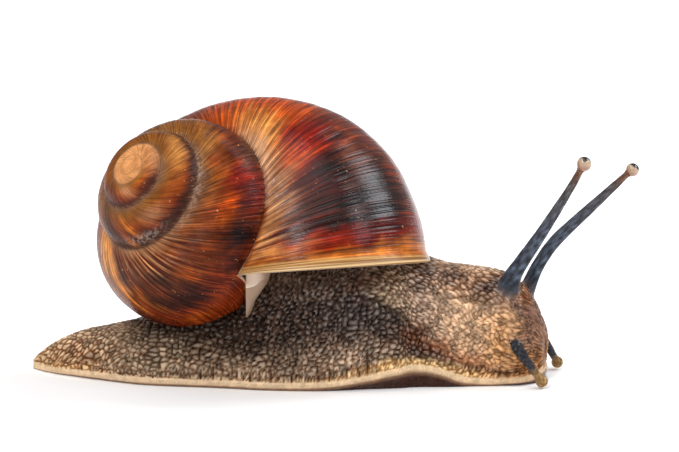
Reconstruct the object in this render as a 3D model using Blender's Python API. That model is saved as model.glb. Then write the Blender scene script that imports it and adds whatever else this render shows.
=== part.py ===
# Roman snail, life size, crawling: coiled shell, body in four lengths, four feelers, two eyes.
# Metres, +X toward the head, the animal's right side toward -Y, +Z up, floor at z = 0.
import bpy
import bmesh
from math import sin, cos, pi, exp, hypot, atan2, sqrt, radians
from mathutils import Vector

MM = 0.001

# Shell: each whorl is a circle swept round the axis while it grows (lengths in mm, angles in rad).
AXIS_FOOT = Vector((-27.1, -9.9, 30.0))       # point of the axis that growth is measured from
AXIS = Vector((0.602, 0.513, -0.611)).normalized()   # runs from the apex down into the shell
LIP_SIDE = Vector((0.383, -0.858, -0.343))    # way out from the axis to where the lip joins
RING_OUT, RING_OUT_GROW, RING_OUT_BEND = 10.8, 0.162, 0.0028      # centre of the circle off the axis
RING_ALONG, RING_ALONG_GROW, RING_ALONG_BEND = 29.8, 0.1437, -0.002   # and along the axis
TUBE, TUBE_GROW, TUBE_BEND = 18.85, 0.0994, 0.0018                # radius of the circle
LIP_PLANE = Vector((0.071, -0.258, -0.963)).normalized()  # faces out of the shell's mouth
ROWS_A_TURN = 38
INNER_TURNS = 3.5
NUCLEUS_RISE = 0.35
LIP_FLARE = 0.55
SWELLS = ((-0.85, 1.0, 0.65, 0.5, 0.55), (-4.3, 1.0, 0.8, 0.5, -1.05))  # turn, side, reach, width, height
LIP_BAND = 0.085
MOUTH_DEPTH = 1.5
COLUMELLA_TURN = 2.64
COLUMELLA_CURVE = 2.5
BASE_STEPS = (1.12, 1.25, 1.4, 1.55, 1.68, 1.78, 1.86, 1.93, 2.0)
SIDE_STEPS = 8

# Body: cross sections along a bending middle line, in mm.
#   x, middle y, top, half width, height of widest, skirt half width, sole half width, skirt lift
BODY = (
    (-44.1, -2.6, 1.15, 0.45, 0.55, 0.60, 0.30, 0.30),
    (-43.8, -2.6, 1.60, 0.95, 0.75, 1.15, 0.60, 0.22),
    (-43.3, -2.6, 2.15, 1.40, 0.95, 1.75, 1.10, 0.18),
    (-42.2, -2.6, 3.00, 2.20, 1.20, 2.90, 2.20, 0.20),
    (-41.0, -2.5, 3.75, 2.90, 1.45, 4.00, 3.30, 0.28),
    (-38.7, -2.4, 4.80, 4.00, 1.80, 5.30, 4.60, 0.40),
    (-35.8, -2.3, 5.70, 5.30, 2.20, 7.00, 6.30, 0.50),
    (-33.0, -2.2, 6.15, 6.20, 2.60, 8.30, 7.70, 0.50),
    (-28.0, -2.2, 7.20, 7.90, 3.20, 10.3, 9.70, 0.55),
    (-22.0, -2.2, 11.0, 9.40, 5.00, 11.3, 10.7, 0.60),
    (-16.0, -2.2, 16.0, 10.8, 8.00, 12.2, 11.6, 0.62),
    (-11.0, -2.2, 19.5, 12.3, 12.0, 13.1, 12.6, 0.60),
    (-5.0, -2.2, 22.0, 14.6, 14.5, 13.6, 13.1, 0.70),
    (0.0, -2.3, 22.0, 14.9, 15.0, 13.6, 12.8, 0.95),
    (4.5, -2.5, 21.6, 13.4, 14.0, 13.1, 11.8, 1.60),
    (8.5, -2.7, 19.8, 10.9, 12.0, 12.4, 11.2, 2.40),
    (12.0, -3.0, 17.2, 8.70, 10.0, 11.6, 10.5, 2.90),
    (15.5, -3.8, 16.1, 7.20, 8.80, 10.6, 9.60, 2.80),
    (18.5, -4.7, 15.9, 6.50, 8.20, 9.60, 8.80, 2.10),
    (21.0, -5.6, 15.9, 6.20, 8.00, 8.40, 7.80, 1.00),
    (23.2, -6.5, 15.7, 6.00, 7.80, 7.10, 6.60, 0.60),
    (25.4, -7.4, 14.8, 5.80, 7.00, 6.00, 5.40, 0.45),
    (27.2, -8.2, 13.0, 5.30, 6.20, 5.10, 4.00, 0.45),
    (28.6, -8.8, 10.6, 4.40, 5.60, 4.10, 2.80, 0.60),
    (29.6, -9.2, 8.60, 3.00, 5.20, 2.70, 1.40, 0.90),
    (30.1, -9.4, 7.00, 1.50, 5.00, 1.40, 0.60, 1.80),
)
LENGTHS = (("tail", -44.1, -29.0), ("trunk", -29.0, 9.0), ("neck", 9.0, 20.5), ("head", 20.5, 30.1))
RING_SPACE = 1.5
SKIRT_THICK = 0.75
GAP = 0.3

# Feelers: points along the middle with their radii, in mm.
EYE_STALK_RIGHT = (((23.6, -8.2, 10.9), 1.95), ((24.6, -8.9, 13.0), 1.9), ((25.1, -9.4, 14.9), 1.5),
                   ((26.2, -9.9, 17.1), 1.12), ((29.6, -11.1, 22.6), 0.86), ((33.4, -12.2, 29.1), 0.6),
                   ((35.0, -12.75, 32.2), 0.5))
EYE_STALK_LEFT = (((26.6, -5.5, 9.6), 1.3), ((27.9, -4.9, 13.2), 1.15), ((29.0, -4.5, 15.6), 0.95),
                  ((30.8, -4.1, 18.4), 0.9), ((32.9, -3.8, 20.7), 0.88), ((38.9, -3.0, 26.2), 0.64),
                  ((41.9, -2.64, 29.0), 0.46))
EYE_RIGHT = ((35.6, -12.9, 33.3), 1.08)
EYE_LEFT = ((42.8, -2.5, 29.7), 0.98)
FEELER_RIGHT = (((25.2, -11.5, 7.1), 0.9), ((26.0, -12.8, 6.0), 0.85), ((27.2, -13.4, 4.3), 0.66),
                ((28.9, -13.7, 2.05), 0.54))
FEELER_RIGHT_TIP = ((29.6, -13.8, 1.12), 0.92)
FEELER_LEFT = (((29.2, -6.4, 6.4), 0.75), ((30.5, -5.1, 4.2), 0.62), ((31.3, -4.2, 2.5), 0.54),
               ((31.7, -3.8, 1.8), 0.5))
FEELER_LEFT_TIP = ((32.0, -3.5, 1.1), 0.85)
STALK_SIDES = 16

# Moves the whole so that z = 0 under its middle is the origin, in mm.
TO_MIDDLE = Vector((0.01, 0.355, 0.0))

for old in list(bpy.data.objects):
    bpy.data.objects.remove(old)

snail = bpy.data.collections.new("roman_snail")
bpy.context.scene.collection.children.link(snail)
cutters = bpy.data.collections.new("cutters")
bpy.context.scene.collection.children.link(cutters)


def paint(name, colour, rough):
    material = bpy.data.materials.new(name)
    material.use_nodes = True
    shader = material.node_tree.nodes["Principled BSDF"]
    shader.inputs["Base Color"].default_value = (*colour, 1)
    shader.inputs["Roughness"].default_value = rough
    material.diffuse_color = (*colour, 1)
    return material


def solid(name, points, faces, where, material=None):
    mesh = bpy.data.meshes.new(name)
    mesh.from_pydata([(Vector(p) + TO_MIDDLE) * MM for p in points], [], faces)
    work = bmesh.new()
    work.from_mesh(mesh)
    bmesh.ops.remove_doubles(work, verts=work.verts, dist=0.00001)
    bmesh.ops.dissolve_degenerate(work, edges=work.edges, dist=0.00001)
    bmesh.ops.recalc_face_normals(work, faces=work.faces)
    work.to_mesh(mesh)
    work.free()
    if material:
        mesh.materials.append(material)
    thing = bpy.data.objects.new(name, mesh)
    where.objects.link(thing)
    return thing


def inflated(thing, by):
    mesh = thing.data.copy()
    work = bmesh.new()
    work.from_mesh(mesh)
    bmesh.ops.triangulate(work, faces=work.faces)
    moves = [(v, v.normal * min(v.calc_shell_factor(), 1.5) * by * MM) for v in work.verts]
    for v, move in moves:
        v.co += move
    work.to_mesh(mesh)
    work.free()
    bigger = bpy.data.objects.new("clear_" + thing.name, mesh)
    cutters.objects.link(bigger)
    bigger.hide_render = True
    bigger.display_type = "WIRE"
    return bigger


def cut(thing, cutter):
    boolean = thing.modifiers.new("cut_" + cutter.name, "BOOLEAN")
    boolean.operation = "DIFFERENCE"
    boolean.solver = "EXACT"
    boolean.object = cutter


# Shell geometry
ACROSS = AXIS.cross(LIP_SIDE).normalized()
OUT = ACROSS.cross(AXIS)


def circle(turn):
    return (RING_OUT * exp(RING_OUT_GROW * turn + RING_OUT_BEND * turn * turn),
            RING_ALONG * exp(RING_ALONG_GROW * turn + RING_ALONG_BEND * turn * turn),
            TUBE * exp(TUBE_GROW * turn + TUBE_BEND * turn * turn))


def crossing(turn):
    r1, z1, s1 = circle(turn - 2 * pi)
    r2, z2, s2 = circle(turn)
    dr, dz = r2 - r1, z2 - z1
    apart = hypot(dr, dz)
    along = (s1 * s1 - s2 * s2 + apart * apart) / (2 * apart)
    off = sqrt(max(s1 * s1 - along * along, 0))
    return r1 + along * dr / apart + off * dz / apart, z1 + along * dz / apart - off * dr / apart


def shell_point(turn, v, swell=0.0):
    r, z, s = circle(turn)
    ur, uz = crossing(turn)
    lr, lz = crossing(turn + 2 * pi)
    upper = atan2(uz - z, ur - r)
    lower = atan2(lz - z, lr - r)
    base = atan2(sqrt(max(s * s - r * r, 0)), -r)
    angle = upper + (lower - upper) * v if v <= 1 else lower + (base - lower) * (v - 1)
    pr = r + (s + swell) * cos(angle)
    pz = z + (s + swell) * sin(angle)
    way = OUT * cos(turn) + ACROSS * sin(turn)
    return AXIS_FOOT + way * pr + AXIS * pz


LIP_START = shell_point(0, 0)


def lip_turn(v):
    if v == 0:
        return 0.0
    v = min(v, 1.9999)
    high = 0.0
    while (shell_point(high, v) - LIP_START).dot(LIP_PLANE) > 0:
        high -= 0.02
    low = high + 0.02
    for _ in range(24):
        middle = (high + low) / 2
        if (shell_point(middle, v) - LIP_START).dot(LIP_PLANE) > 0:
            low = middle
        else:
            high = middle
    return high


SIDE = [i / SIDE_STEPS for i in range(SIDE_STEPS + 1)]
SKEW = {v: lip_turn(v) for v in SIDE + list(BASE_STEPS)}
PERIOD = 2 * pi + SKEW[1.0]


def wall_turn(v):
    return -2 * pi + (SKEW[2.0] + 2 * pi) * (v - 1) ** COLUMELLA_CURVE


def flare(t, v):
    near = max(0.0, 1 + t / LIP_BAND)
    ends = min(1, v / 0.12) * min(1, max(0, (1.95 - v) / 0.35))
    swell = sum(high * exp(-((t - at) / reach) ** 2 - ((v - side) / wide) ** 2)
                for at, side, reach, wide, high in SWELLS)
    return (LIP_FLARE * near * near * (3 - 2 * near) + swell) * ends


def grown(t, v):
    if v <= 1:
        return shell_point(t + SKEW[v], v, flare(t, v))
    share = (t + PERIOD) / PERIOD
    return shell_point(wall_turn(v) + share * (SKEW[v] - wall_turn(v)), v, flare(t, v))


# Rows repeat every PERIOD of growth, closer together behind the lip, so that neighbours share corners.
BEHIND_LIP = (0.0, 0.02, 0.05, 0.085, 0.14, 0.21)
PLAIN = ROWS_A_TURN - len(BEHIND_LIP)
STEPS = list(BEHIND_LIP) + [0.21 + (PERIOD - 0.21) * (i + 1) / (PLAIN + 1) for i in range(PLAIN)]
ROW_T = [-(i // ROWS_A_TURN) * PERIOD - STEPS[i % ROWS_A_TURN] for i in range(int(INNER_TURNS * ROWS_A_TURN) + 1)]

points, index = [], {}


def corner(row, column):
    if column == SIDE_STEPS and row >= ROWS_A_TURN:
        row, column = row - ROWS_A_TURN, 0
    key = (row, column)
    if key not in index:
        v = SIDE[column] if column <= SIDE_STEPS else BASE_STEPS[column - SIDE_STEPS - 1]
        index[key] = len(points)
        points.append(grown(ROW_T[row], v))
    return index[key]


faces = []
last = len(ROW_T) - 1
for row in range(last):
    reach = SIDE_STEPS + len(BASE_STEPS) if row < ROWS_A_TURN else SIDE_STEPS
    for column in range(reach):
        faces.append((corner(row, column), corner(row + 1, column),
                      corner(row + 1, column + 1), corner(row, column + 1)))

# Nucleus: a low dome over the first turn.
hole = [corner(row, 0) for row in range(last, last - ROWS_A_TURN - 1, -1)]
hole += [corner(last, column) for column in range(SIDE_STEPS - 1, 0, -1)]
middle = sum((points[i] for i in hole), Vector()) / len(hole)
low_ring = []
for i in hole:
    low_ring.append(len(points))
    points.append(points[i].lerp(middle, 0.5) - AXIS * NUCLEUS_RISE)
top = len(points)
points.append(middle - AXIS * NUCLEUS_RISE * 1.35)
for i in range(len(hole)):
    j = (i + 1) % len(hole)
    faces.append((hole[i], hole[j], low_ring[j], low_ring[i]))
    faces.append((low_ring[i], low_ring[j], top))

# Mouth: lip edge, then down the inner wall; closed a little way in.
columns = SIDE_STEPS + len(BASE_STEPS)
mouth = [corner(0, column) for column in range(columns + 1)]
mouth += [corner(ROWS_A_TURN, column) for column in range(columns - 1, SIDE_STEPS, -1)]
middle = sum((points[i] for i in mouth), Vector()) / len(mouth)
inner = []
for i in mouth:
    inner.append(len(points))
    points.append(points[i].lerp(middle, 0.28) - LIP_PLANE * MOUTH_DEPTH)
deep = len(points)
points.append(middle - LIP_PLANE * MOUTH_DEPTH * 1.2)
for i in range(len(mouth)):
    j = (i + 1) % len(mouth)
    faces.append((mouth[i], mouth[j], inner[j], inner[i]))
    faces.append((inner[i], inner[j], deep))

shell = solid("shell", points, faces, snail, paint("shell_horn", (0.32, 0.09, 0.03), 0.2))


# Body geometry
def between(table, x):
    rows = [table[0]] + list(table) + [table[-1]]
    for i in range(1, len(rows) - 2):
        if x <= rows[i + 1][0] or i == len(rows) - 3:
            before, a, b, after = rows[i - 1], rows[i], rows[i + 1], rows[i + 2]
            break
    f = (x - a[0]) / (b[0] - a[0])
    out = []
    for k in range(1, len(a)):
        wide = b[0] - a[0]
        slope_a = (b[k] - before[k]) / max(b[0] - before[0], 0.001) * wide
        slope_b = (after[k] - a[k]) / max(after[0] - a[0], 0.001) * wide
        out.append((2 * f**3 - 3 * f**2 + 1) * a[k] + (f**3 - 2 * f**2 + f) * slope_a
                   + (3 * f**2 - 2 * f**3) * b[k] + (f**3 - f**2) * slope_b)
    return out


def ring(x):
    y, top, wide, widest, skirt, sole, lift = between(BODY, x)
    ahead = between(BODY, min(x + 0.5, BODY[-1][0]))[0]
    behind = between(BODY, max(x - 0.5, BODY[0][0]))[0]
    bend = atan2(behind - ahead, 1.0)
    thick = min(SKIRT_THICK, 0.35 * top)
    groove = min(skirt - 0.5 * thick, 0.5 * (skirt + wide))
    half = [(0.0, 0.0), (sole, 0.0), (0.4 * sole + 0.6 * skirt, 0.5 * lift + 0.1),
            (skirt, lift + 0.3 * thick), (skirt, lift + thick), (groove, lift + 1.7 * thick)]
    low = lift + 1.7 * thick
    for degrees in (-40, -15, 8, 28, 46, 62, 77):
        turn = radians(degrees)
        if degrees < 0:
            z = widest + (widest - low) * sin(turn)
        else:
            z = widest + (top - widest) * sin(turn)
        z = max(z, low + 0.05 * (degrees + 41) / 40)
        half.append((wide * cos(turn) if degrees >= 0 else
                     wide + (groove - wide) * (-sin(turn)) ** 1.6, z))
    half.append((0.0, top))
    around = half + [(-a, z) for a, z in half[-2:0:-1]]
    return [(x - a * sin(bend), y - a * cos(bend), z) for a, z in around]


skin = {"tail": (0.45, 0.35, 0.22), "trunk": (0.12, 0.09, 0.07), "neck": (0.42, 0.3, 0.18),
        "head": (0.36, 0.2, 0.1)}
lengths = {}
for name, start, end in LENGTHS:
    start = start if name == "tail" else start + GAP / 2
    end = end if name == "head" else end - GAP / 2
    count = max(4, round((end - start) / RING_SPACE))
    stations = [start + (end - start) * i / count for i in range(count + 1)]
    if name == "tail":
        stations[1:1] = [start + 0.25, start + 0.6]
    if name == "head":
        stations = [start + (end - start) * (1 - (1 - i / 9) ** 1.6) for i in range(10)]
    rings = [ring(x) for x in stations]
    size = len(rings[0])
    body, walls = [p for r in rings for p in r], []
    for i in range(len(rings) - 1):
        for j in range(size):
            k = (j + 1) % size
            walls.append((i * size + j, i * size + k, (i + 1) * size + k, (i + 1) * size + j))
    walls.append(tuple(range(size)))
    walls.append(tuple(range((len(rings) - 1) * size, len(rings) * size)))
    lengths[name] = solid(name, body, walls, snail, paint(name + "_skin", skin[name], 0.45))


# Feelers
def stalk(name, path, grow, where, tip=None, material=None, longer=0.0):
    middle = [Vector(p) for p, _ in path]
    radii = [r + grow for _, r in path]
    middle[0] = middle[0] + (middle[0] - middle[1]).normalized() * longer
    smooth, widths = [], []
    for i in range(len(middle) - 1):
        p0, p1 = middle[max(i - 1, 0)], middle[i]
        p2, p3 = middle[i + 1], middle[min(i + 2, len(middle) - 1)]
        for step in range(3):
            f = step / 3
            smooth.append(0.5 * (2 * p1 + (p2 - p0) * f + (2 * p0 - 5 * p1 + 4 * p2 - p3) * f**2
                                 + (3 * p1 - p0 - 3 * p2 + p3) * f**3))
            widths.append(radii[i] + (radii[i + 1] - radii[i]) * f)
    smooth.append(middle[-1])
    widths.append(radii[-1])
    if tip:
        centre, radius = Vector(tip[0]), tip[1]
        way = (centre - smooth[-1]).normalized()
        for degrees in (-50, -20, 10, 40, 65):
            smooth.append(centre + way * radius * sin(radians(degrees)))
            widths.append(radius * cos(radians(degrees)))
    points, faces = [], []
    side = Vector((0, 1, 0))
    for i, centre in enumerate(smooth):
        way = (smooth[min(i + 1, len(smooth) - 1)] - smooth[max(i - 1, 0)]).normalized()
        side = (side - way * side.dot(way)).normalized()
        up = way.cross(side)
        for j in range(STALK_SIDES):
            turn = 2 * pi * j / STALK_SIDES
            points.append(centre + (side * cos(turn) + up * sin(turn)) * widths[i])
    for i in range(len(smooth) - 1):
        for j in range(STALK_SIDES):
            k = (j + 1) % STALK_SIDES
            faces.append((i * STALK_SIDES + j, i * STALK_SIDES + k,
                          (i + 1) * STALK_SIDES + k, (i + 1) * STALK_SIDES + j))
    faces.append(tuple(range(STALK_SIDES)))
    if tip:
        points.append(Vector(tip[0]) + way * tip[1])
        base = (len(smooth) - 1) * STALK_SIDES
        for j in range(STALK_SIDES):
            faces.append((base + j, base + (j + 1) % STALK_SIDES, len(points) - 1))
    else:
        faces.append(tuple(range((len(smooth) - 1) * STALK_SIDES, len(smooth) * STALK_SIDES)))
    return solid(name, points, faces, where, material)


def eye(name, place):
    centre, radius = place
    mesh = bpy.data.meshes.new(name)
    work = bmesh.new()
    bmesh.ops.create_uvsphere(work, u_segments=16, v_segments=10, radius=radius * MM)
    bmesh.ops.translate(work, verts=work.verts, vec=(Vector(centre) + TO_MIDDLE) * MM)
    work.to_mesh(mesh)
    work.free()
    mesh.materials.append(paint(name + "_gloss", (0.05, 0.03, 0.02), 0.1))
    thing = bpy.data.objects.new(name, mesh)
    snail.objects.link(thing)


slate = (0.1, 0.12, 0.15)
for name, path, tip in (("eye_stalk_right", EYE_STALK_RIGHT, None), ("eye_stalk_left", EYE_STALK_LEFT, None),
                        ("feeler_right", FEELER_RIGHT, FEELER_RIGHT_TIP),
                        ("feeler_left", FEELER_LEFT, FEELER_LEFT_TIP)):
    stalk(name, path, 0.0, snail, tip, paint(name + "_skin", slate, 0.4))
    socket = stalk("socket_" + name, path, GAP, cutters, None, None, GAP)
    socket.hide_render = True
    socket.display_type = "WIRE"
    cut(lengths["head"], socket)
eye("eye_right", EYE_RIGHT)
eye("eye_left", EYE_LEFT)

clear_shell = inflated(shell, GAP * 1.2)
for name in ("tail", "trunk", "neck"):
    cut(lengths[name], clear_shell)
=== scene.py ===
# A Roman snail as it crawls, life size, in metres. +X is toward the head, -Y the animal's right side.
import bpy
import bmesh
import numpy as np
from math import sin, cos, pi, exp, hypot, atan2, sqrt, radians
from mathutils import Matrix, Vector, noise


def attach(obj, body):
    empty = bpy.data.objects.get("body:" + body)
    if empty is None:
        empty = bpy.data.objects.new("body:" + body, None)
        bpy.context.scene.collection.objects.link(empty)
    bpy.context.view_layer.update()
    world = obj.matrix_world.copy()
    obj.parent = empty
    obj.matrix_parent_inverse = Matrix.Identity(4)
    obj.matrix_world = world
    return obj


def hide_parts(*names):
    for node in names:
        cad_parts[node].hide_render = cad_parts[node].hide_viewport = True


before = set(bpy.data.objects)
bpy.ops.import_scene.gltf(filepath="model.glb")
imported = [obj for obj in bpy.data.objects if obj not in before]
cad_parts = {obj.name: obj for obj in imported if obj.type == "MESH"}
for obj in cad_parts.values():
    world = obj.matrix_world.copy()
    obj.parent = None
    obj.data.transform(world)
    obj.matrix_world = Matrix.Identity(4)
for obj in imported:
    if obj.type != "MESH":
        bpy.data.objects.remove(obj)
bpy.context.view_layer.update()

# ---------------------------------------------------------------------------------------------
# Studio: a white floor that fades into a white room, lit by a wide soft box over the tail, a cool
# window and a cool strip at the right, and a small warm key in front. A long lens keeps lines straight.
LENS_HEIGHT = radians(15)          # how far the camera looks down
LENS_AWAY = 2.0
LOOK_AT = Vector((0.0004, 0.0004, 0.0206))
FIELD_WIDE = 0.0985
SENSOR_WIDE = 36
ROOM_GLOW = 0.3
FLOOR_HALF = 1.5

lens = bpy.data.cameras.new("long_lens")
lens.sensor_width = SENSOR_WIDE
lens.lens = SENSOR_WIDE * LENS_AWAY / FIELD_WIDE
lens.clip_start, lens.clip_end = 0.05, 20
camera = bpy.data.objects.new("camera", lens)
camera.location = LOOK_AT + Vector((0, -cos(LENS_HEIGHT), sin(LENS_HEIGHT))) * LENS_AWAY
camera.rotation_euler = (pi / 2 - LENS_HEIGHT, 0, 0)
bpy.context.scene.collection.objects.link(camera)
bpy.context.scene.camera = camera
bpy.context.scene.view_settings.view_transform = "Standard"


def finish_of(name, **sockets):
    """A new Principled material; sockets are given by their names with _ for a space."""
    material = bpy.data.materials.new(name)
    material.use_nodes = True
    shader = material.node_tree.nodes["Principled BSDF"]
    for socket, value in sockets.items():
        shader.inputs[socket.replace("_", " ")].default_value = value
    return material, material.node_tree, shader


def made_of(work, name):
    """The mesh worked on, as an object in the scene; both have the same name."""
    mesh = bpy.data.meshes.new(name)
    work.to_mesh(mesh)
    work.free()
    thing = bpy.data.objects.new(name, mesh)
    bpy.context.scene.collection.objects.link(thing)
    return thing


room = bpy.data.worlds.new("white_room")
room.use_nodes = True
air = room.node_tree.nodes["Background"].inputs
air["Color"].default_value = (1, 1, 1, 1)
air["Strength"].default_value = ROOM_GLOW
bpy.context.scene.world = room

work = bmesh.new()
bmesh.ops.create_grid(work, x_segments=1, y_segments=1, size=FLOOR_HALF)
floor = made_of(work, "floor")
paper, tree, shader = finish_of("white_paper", Base_Color=(0.93, 0.93, 0.94, 1), Roughness=0.9,
                                Emission_Color=(1, 1, 1, 1))
floor.data.materials.append(paper)
# The paper glows, painted light that brightens it like a lit sweep, and glows less in a pool round the
# animal: a painted shadow where the room's light is held off it.
place, moved, away, painted_glow = (tree.nodes.new("ShaderNode" + kind)
                            for kind in ("TexCoord", "Mapping", "VectorMath", "MapRange"))
moved.inputs["Location"].default_value = (0, 0.9, 0)
moved.inputs["Scale"].default_value = (14, 60, 0)
away.operation, painted_glow.interpolation_type = "LENGTH", "SMOOTHSTEP"
for socket, number in (("From Min", 0.5), ("From Max", 1.3), ("To Min", 0.05), ("To Max", 0.36)):
    painted_glow.inputs[socket].default_value = number
for out, into in ((place.outputs["Object"], moved.inputs[0]), (moved.outputs[0], away.inputs[0]),
                  (away.outputs["Value"], painted_glow.inputs["Value"]),
                  (painted_glow.outputs[0], shader.inputs["Emission Strength"])):
    tree.links.new(out, into)


def soft_box(name, place, wide, tall, watts, colour=(1, 1, 1)):
    light = bpy.data.lights.new(name, "AREA")
    light.shape = "RECTANGLE"
    light.size, light.size_y, light.energy, light.color = wide, tall, watts, colour
    lamp = bpy.data.objects.new(name, light)
    lamp.location = place
    lamp.rotation_euler = (LOOK_AT - Vector(place)).to_track_quat("-Z", "Y").to_euler()
    bpy.context.scene.collection.objects.link(lamp)


soft_box("soft_box_over", (-0.12, -0.07, 0.76), 0.9, 0.6, 2.6)
soft_box("window_right", (0.36, 0.13, 0.34), 0.22, 0.22, 1.1, (0.9, 0.95, 1.0))
soft_box("small_key", (-0.16, -0.38, 0.42), 0.12, 0.12, 1.3, (1.0, 0.97, 0.93))
soft_box("strip_right", (0.46, -0.2, 0.46), 0.12, 0.24, 0.9, (0.88, 0.93, 1.0))

# ---------------------------------------------------------------------------------------------
# Shell: a tube that is a circle in section, coiled to the right round an axis that dips toward
# the head, about four and a half whorls. It grows at the lip, so lip-shaped growth lines ring it.
MM = 0.001
TO_MIDDLE = Vector((0.01, 0.355, 0.0))
AXIS_FOOT = Vector((-27.1, -9.9, 30.0))
AXIS = Vector((0.602, 0.513, -0.611)).normalized()
LIP_SIDE = Vector((0.383, -0.858, -0.343))
# Size at the lip, growth with the turn, and its bend: the ring's centre out and along, and the tube.
WHORL = ((10.8, 0.162, 0.0028), (29.8, 0.1437, -0.002), (18.85, 0.0994, 0.0018))
LIP_PLANE = Vector((0.071, -0.258, -0.963)).normalized()
INNER_TURNS = 5.5
NUCLEUS_RISE = 0.1
WHORL_SWELL = 0.19         # how far an inner whorl bulges, as a share of its width
TIP_TURN = -17.0           # the first whorls, inside this turn, have a law of their own
TIP_OUT, TIP_GROW = 3.0, 0.105
TIP_ALONG, TIP_DOME = -4.8, 0.065
LIP_FLARE = 0.55
SWELLS = ((-0.85, 1.0, 0.65, 0.5, 0.55), (-4.3, 1.0, 0.8, 0.5, -1.05))  # turn, side, reach, width, height
LIP_BAND = 0.085
MOUTH_DEPTH = 1.5
COLUMELLA_CURVE = 2.5
ROWS = 440                # growth rows in one repeat
SIDE_COLUMNS = 30
BASE_COLUMNS = 26
MERGE = 0.002              # points nearer than this are one

ACROSS = AXIS.cross(LIP_SIDE).normalized()
OUT = ACROSS.cross(AXIS)


def held(x):
    """x, kept between 0 and 1."""
    return min(1, max(0, x))


def circle(turn):
    """The whorl's section at a turn: its centre out from the axis and along it, and its radius."""
    return [size * exp(grow * turn + bend * turn * turn) for size, grow, bend in WHORL]


def suture(turn):
    """Where this whorl's circle meets the one a turn before it."""
    if turn < TIP_TURN:
        out = TIP_OUT * exp(TIP_GROW * (turn - TIP_TURN))
        return out, TIP_ALONG + TIP_DOME * out * out
    r1, z1, s1 = circle(turn - 2 * pi)
    r2, z2, s2 = circle(turn)
    dr, dz = r2 - r1, z2 - z1
    apart = hypot(dr, dz)
    along = (s1 * s1 - s2 * s2 + apart * apart) / (2 * apart)
    off = sqrt(max(s1 * s1 - along * along, 0))
    return r1 + along * dr / apart + off * dz / apart, z1 + along * dz / apart - off * dr / apart


def shell_point(turn, v, swell=0.0):
    """v runs round the section: 0 at the upper suture, 1 at the lower, 2 on the axis below."""
    r, z, s = circle(turn)
    ur, uz = suture(turn)
    lr, lz = suture(turn + 2 * pi)
    upper = atan2(uz - z, ur - r)
    lower = atan2(lz - z, lr - r)
    base = atan2(sqrt(max(s * s - r * r, 0)), -r)
    angle = upper + (lower - upper) * v if v <= 1 else lower + (base - lower) * (v - 1)
    out, along = r + (s + swell) * cos(angle), z + (s + swell) * sin(angle)
    inner = held((-4 - turn) / 8)
    if inner and v <= 1:      # the early whorls are rounder than their circles
        wide = hypot(lr - ur, lz - uz)
        rise = WHORL_SWELL * wide * 4 * v * (1 - v) + swell
        flat_out = ur + (lr - ur) * v + (lz - uz) / wide * rise
        flat_along = uz + (lz - uz) * v - (lr - ur) / wide * rise
        out, along = out + (flat_out - out) * inner, along + (flat_along - along) * inner
    way = OUT * cos(turn) + ACROSS * sin(turn)
    return AXIS_FOOT + way * out + AXIS * along


LIP_START = shell_point(0, 0)


def lip_turn(v):
    """The turn at which the section's point v meets the flat lip."""
    if v == 0:
        return 0.0
    v = min(v, 1.9999)
    high = 0.0
    while (shell_point(high, v) - LIP_START).dot(LIP_PLANE) > 0:
        high -= 0.02
    low = high + 0.02
    for _ in range(24):
        half = (high + low) / 2
        if (shell_point(half, v) - LIP_START).dot(LIP_PLANE) > 0:
            low = half
        else:
            high = half
    return high


SIDE_LIP = [lip_turn(i / SIDE_COLUMNS) for i in range(SIDE_COLUMNS + 1)]
BASE_LIP = [lip_turn(1 + i / BASE_COLUMNS) for i in range(BASE_COLUMNS + 1)]
REPEAT = 2 * pi + SIDE_LIP[-1]


def flare(t, v):
    near = max(0.0, 1 + t / LIP_BAND)
    ends = min(1, v / 0.12) * held((1.95 - v) / 0.35)
    swell = sum(high * exp(-((t - at) / reach) ** 2 - ((v - side) / wide) ** 2)
                for at, side, reach, wide, high in SWELLS)
    return (LIP_FLARE * near * near * (3 - 2 * near) + swell) * ends


def folds(t, v):
    """Crests, 0 to 1, of the rolls pinched up beside the suture of the last whorl and a half."""
    wave = 0.5 + 0.5 * sin(t * 74 + 5.0 * noise.noise(Vector((t * 5.3, 2.2 * v, 5.5))))
    reach = 0.125 + 0.06 * noise.noise(Vector((t * 9.0, 2.5, 4.5)))
    last = held((t + 1.9) / 0.9) * held((-0.12 - t) / 0.12) * exp(-(v / reach) ** 2)
    before = 0.55 * exp(-((t + 5.4) / 0.55) ** 2) * exp(-((v - 0.12) / 0.24) ** 2)
    return wave * wave, last + before


def ridges(t, v):
    """Growth ridges: coarse, middling and fine rolls that follow the lip, in mm."""
    edge = min(1, v / 0.06)
    if t < -REPEAT:
        edge = min(edge, (1 - v) / 0.06)
    size = exp(0.09 * t)
    coarse = noise.noise(Vector((t * 5.0, v * 0.7, 3.1)))
    middling = noise.noise(Vector((t * 16.0, v * 1.1, 7.7)))
    fine = noise.noise(Vector((t * 42.0, v * 1.7, 1.3)))
    crest, share = folds(t, v)
    return edge * size * (0.1 * coarse + 0.055 * middling + 0.035 * fine + 0.42 * (crest - 0.4) * share)


def coil_place(t, column):
    v = column / SIDE_COLUMNS
    return shell_point(t + SIDE_LIP[column], v, flare(t, v) + ridges(t, v)), v


def base_place(t, column):
    v = 1 + column / BASE_COLUMNS
    wall = -2 * pi + (BASE_LIP[-1] + 2 * pi) * (v - 1) ** COLUMELLA_CURVE
    share = (t + REPEAT) / REPEAT
    loose = 1 if column < BASE_COLUMNS else 0      # the last column lies on the axis
    return shell_point(wall + share * (BASE_LIP[column] - wall), v, loose * (flare(t, v) + ridges(t, v))), v


def lined(faces, where):
    """The growth map of faces: where gives each vertex's turn and its place across the whorl."""
    for face in faces:
        for loop in face.loops:
            loop[growth].uv = where(loop.vert)


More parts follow.
